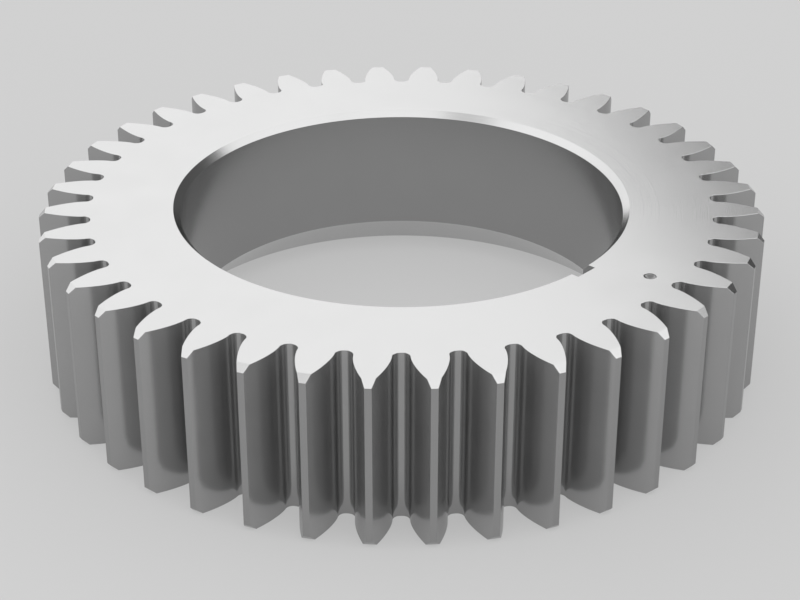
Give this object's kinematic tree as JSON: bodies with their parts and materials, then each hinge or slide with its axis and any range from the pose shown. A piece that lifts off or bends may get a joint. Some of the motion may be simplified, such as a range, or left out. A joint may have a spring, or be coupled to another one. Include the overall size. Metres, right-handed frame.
{
  "type": "crankshaft gear",
  "caption": "Wide steel spur gear for an engine's crankshaft, with long involute teeth, a large chamfered bore with a keyway, and a timing dimple on its front face.",
  "frame": {"origin": "centre of the bore in the plane of the rear face, which is the end with the large bore chamfer", "axes": "+Z along the bore axis from the rear face to the front face, +X through the middle of the keyway"},
  "size_m": [0.1806, 0.1806, 0.0428],
  "materials": {
    "machined_steel": "fine turned and ground bare steel, satin"
  },
  "bodies": {
    "root": {"crankshaft_gear": "machined_steel"}
  },
  "joints": []
}
